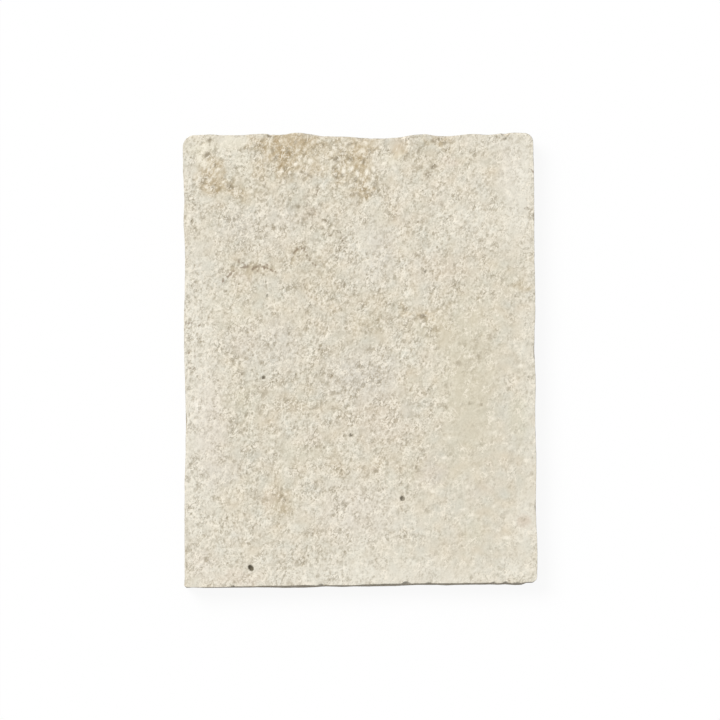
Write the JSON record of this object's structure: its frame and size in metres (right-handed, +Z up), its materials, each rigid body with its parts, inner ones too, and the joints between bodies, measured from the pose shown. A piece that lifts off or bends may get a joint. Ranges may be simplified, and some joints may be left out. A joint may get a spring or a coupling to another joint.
{
  "type": "limestone slab",
  "caption": "Weathered pale limestone paving slab: a thin rectangular stone with a worn wavy far edge, chipped arrises and open pits, laid flat on its bed face",
  "frame": {"origin": "middle of the bed face, under the centre of the slab's box", "axes": "+Z up out of the walking face, +Y along the length towards the worn far edge, +X across the width"},
  "size_m": [0.4001, 0.517, 0.03],
  "materials": {
    "limestone": "matt tumbled cream limestone with fine grain, ochre stains, thin veins and open pits"
  },
  "bodies": {
    "root": {"limestone_slab": "limestone"}
  },
  "joints": []
}
